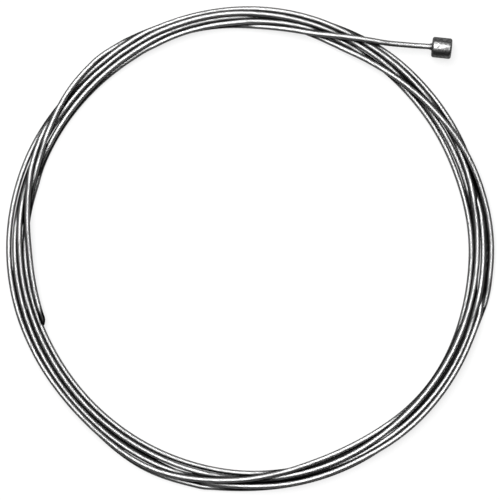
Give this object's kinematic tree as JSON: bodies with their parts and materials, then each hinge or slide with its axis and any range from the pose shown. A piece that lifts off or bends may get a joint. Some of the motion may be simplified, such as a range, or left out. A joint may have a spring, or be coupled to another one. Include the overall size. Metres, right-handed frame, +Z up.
{
  "type": "bicycle shift cable",
  "caption": "Bare stranded steel inner wire for a bicycle gear shifter, coiled flat, with a small cylindrical head on one end and a bare free end.",
  "frame": {"origin": "centre of the coil, on the surface it lies on", "axes": "+Z up along the coil's axis; +X and +Y lie in the coil's plane, and seen from above the head lies between them, at about 48 degrees from +X towards +Y"},
  "size_m": [0.104, 0.104, 0.0044],
  "materials": {
    "stainless_strand": "bright drawn stainless strand",
    "cast_head": "tumbled grey casting, satin"
  },
  "bodies": {
    "root": {"cable_head": "cast_head", "wire_lead": "stainless_strand", "wire_coil": "stainless_strand"}
  },
  "joints": []
}
